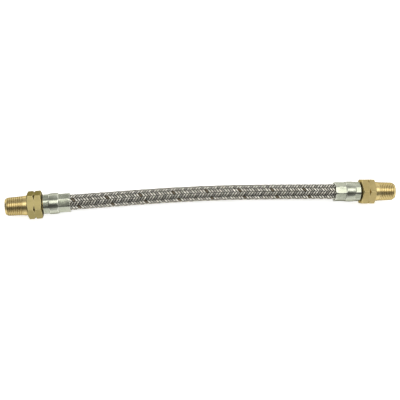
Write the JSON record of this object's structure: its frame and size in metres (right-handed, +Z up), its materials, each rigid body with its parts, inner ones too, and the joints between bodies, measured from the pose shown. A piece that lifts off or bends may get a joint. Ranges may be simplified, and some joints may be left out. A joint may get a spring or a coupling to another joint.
{
  "type": "flexible steel hose",
  "caption": "Short stainless-steel braided hose with a rubber inner tube and a crimped male brass pipe fitting on each end, for joining two threaded ports that move or do not line up.",
  "frame": {"origin": "bottom centre of the whole hose's box, on the surface that it lies on", "axes": "+X runs from the left fitting's tip to the right fitting's tip, +Y is the side that the hose bows to, +Z is up"},
  "size_m": [0.3004, 0.0218, 0.0211],
  "materials": {
    "brass": "turned bare brass, satin, slightly dulled",
    "plated_steel": "bright plated steel with soft crimping marks",
    "stainless_braid": "fine bright drawn wire, plaited",
    "black_rubber": "matt black"
  },
  "bodies": {
    "root": {"inner_tube": "black_rubber", "braid_sleeve": "stainless_braid", "left_ferrule": "plated_steel", "right_ferrule": "plated_steel", "left_fitting": "brass", "right_fitting": "brass"}
  },
  "joints": []
}
